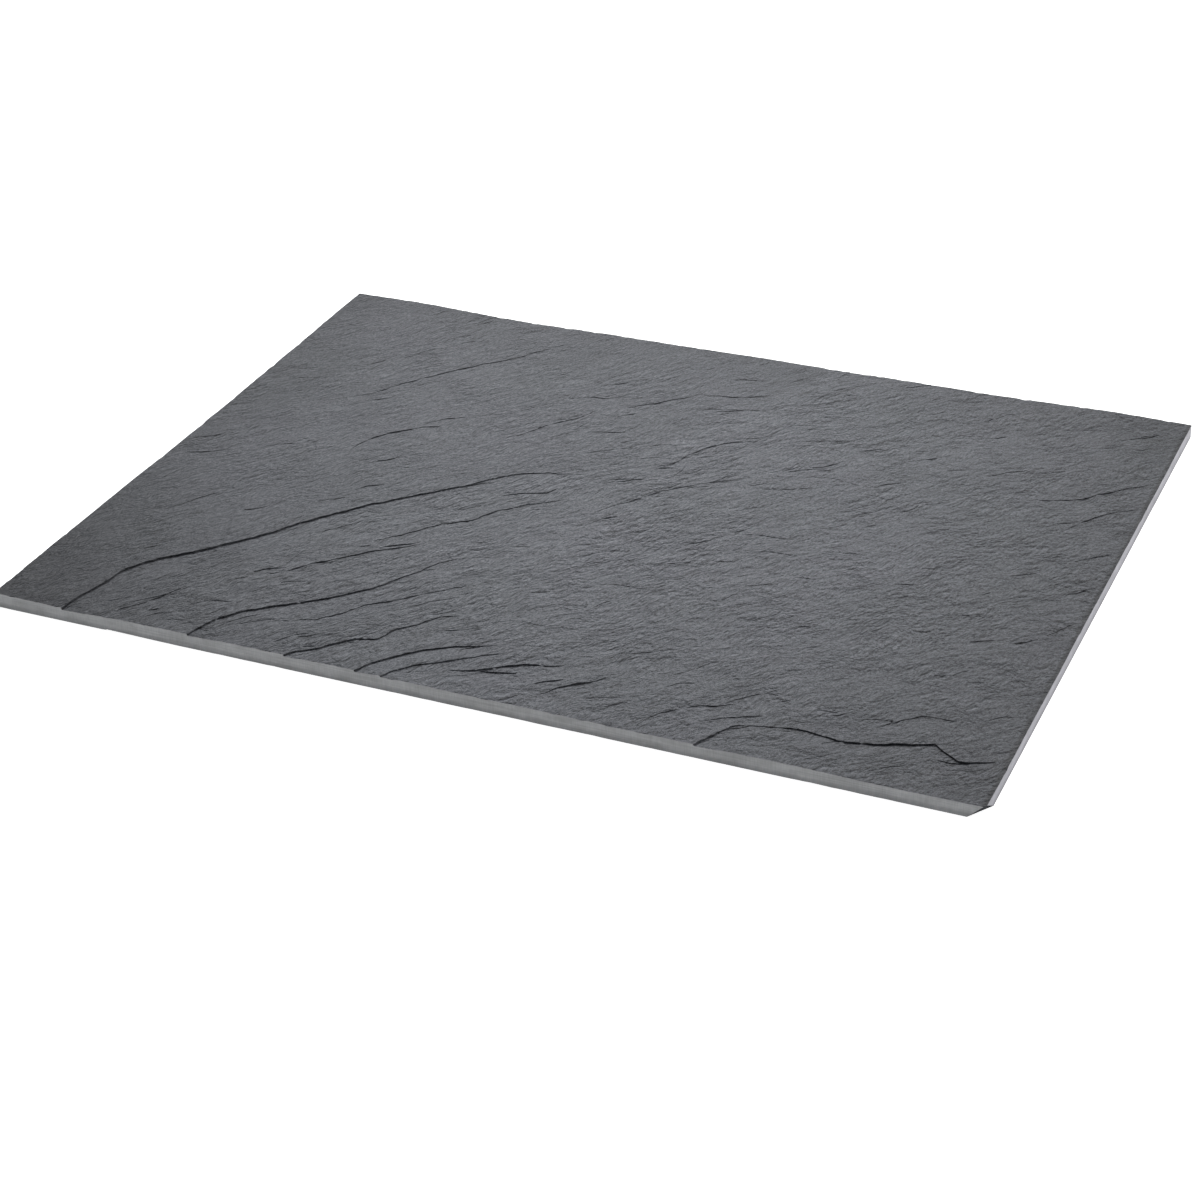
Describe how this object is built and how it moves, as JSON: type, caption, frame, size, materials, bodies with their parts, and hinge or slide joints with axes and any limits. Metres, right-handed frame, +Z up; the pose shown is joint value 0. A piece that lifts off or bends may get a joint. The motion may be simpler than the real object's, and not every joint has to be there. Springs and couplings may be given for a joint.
{
  "type": "slate serving board",
  "caption": "Flat rectangular serving board of riven slate with sawn edges, low cleavage ledges across its top face and a broken lower front corner.",
  "frame": {"origin": "under the middle of the board, on the surface it rests on", "axes": "+X along the long side, towards the broken corner; +Y along the short side, away from the front edge; +Z up, out of the riven face"},
  "size_m": [0.4, 0.3, 0.0071],
  "materials": {
    "slate": "riven face, matt blue-grey with a faint sheen, paler sawn edges"
  },
  "bodies": {
    "root": {"slate_board": "slate"}
  },
  "joints": []
}
